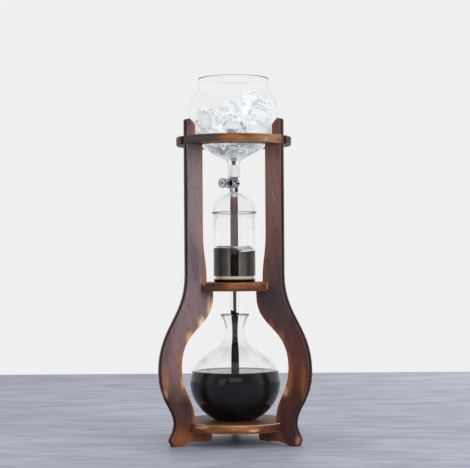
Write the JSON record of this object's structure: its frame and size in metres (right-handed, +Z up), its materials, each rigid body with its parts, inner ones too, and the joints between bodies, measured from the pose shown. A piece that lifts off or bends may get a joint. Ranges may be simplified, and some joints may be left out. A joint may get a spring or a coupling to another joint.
{
  "type": "cold drip coffee tower",
  "caption": "Free-standing cold drip coffee tower: a scorched wooden tripod frame holds an open glass ice globe with a drip tap over a domed glass brewer and a round flask.",
  "frame": {"origin": "on the floor, on the tower's own axis, midway between the three feet", "axes": "+Z up along the tower's axis; -Y towards the front, where the flask slides out between the two front legs; +X to the right seen from the front; the third leg stands at +Y"},
  "size_m": [0.216, 0.2039, 0.5228],
  "materials": {
    "leg_wood": "torch-scorched and oiled board",
    "plate_wood": "torch-scorched and oiled board",
    "dowel_wood": "plain beech, glued",
    "clear_glass": "clear blown borosilicate",
    "white_silicone": "satin moulded",
    "clear_silicone": "satin moulded",
    "chromed_brass": "polished plate",
    "turned_steel": "turned",
    "white_packing": "smooth",
    "filter_ceramic": "unglazed"
  },
  "bodies": {
    "frame": {"leg_left": "leg_wood", "leg_right": "leg_wood", "leg_back": "leg_wood", "top_ring": "plate_wood", "mid_plate": "plate_wood", "base_plate": "plate_wood", "ring_dowels": "dowel_wood", "mid_dowels": "dowel_wood", "base_dowels": "dowel_wood"},
    "ice_globe": {"globe": "clear_glass", "stem_stopper": "white_silicone", "valve_body": "chromed_brass", "valve_packing": "white_packing", "valve_gland_nut": "chromed_brass", "drip_tip": "white_silicone"},
    "tap": {"valve_plug": "turned_steel", "valve_knob": "chromed_brass", "knob_screw": "turned_steel"},
    "brewer_unit": {"brewer": "clear_glass", "filter_disc": "filter_ceramic", "filter_ring_seal": "clear_silicone"},
    "lid": {"dome_lid": "clear_glass"},
    "carafe": {"flask": "clear_glass"}
  },
  "joints": [
    {"name": "globe_lift", "type": "slide", "parent": "frame", "child": "ice_globe", "axis": [0, 0, 1], "range_m": [0, 0.11]},
    {"name": "tap_turn", "type": "hinge", "parent": "ice_globe", "child": "tap", "pos_m": [0, 0, 0.3721], "axis": [-0.7071, -0.7071, 0], "range_deg": [0, 90]},
    {"name": "brewer_lift", "type": "slide", "parent": "frame", "child": "brewer_unit", "axis": [0, 0, 1], "range_m": [0, 0.05]},
    {"name": "lid_lift", "type": "slide", "parent": "brewer_unit", "child": "lid", "axis": [0, 0, 1], "range_m": [0, 0.023]},
    {"name": "flask_slide", "type": "slide", "parent": "frame", "child": "carafe", "axis": [0, -1, 0], "range_m": [0, 0.15]}
  ],
  "couplings": [
    {"joint": "brewer_lift", "follows": "globe_lift", "ratio": 0.45},
    {"joint": "lid_lift", "follows": "globe_lift", "ratio": 0.2}
  ]
}
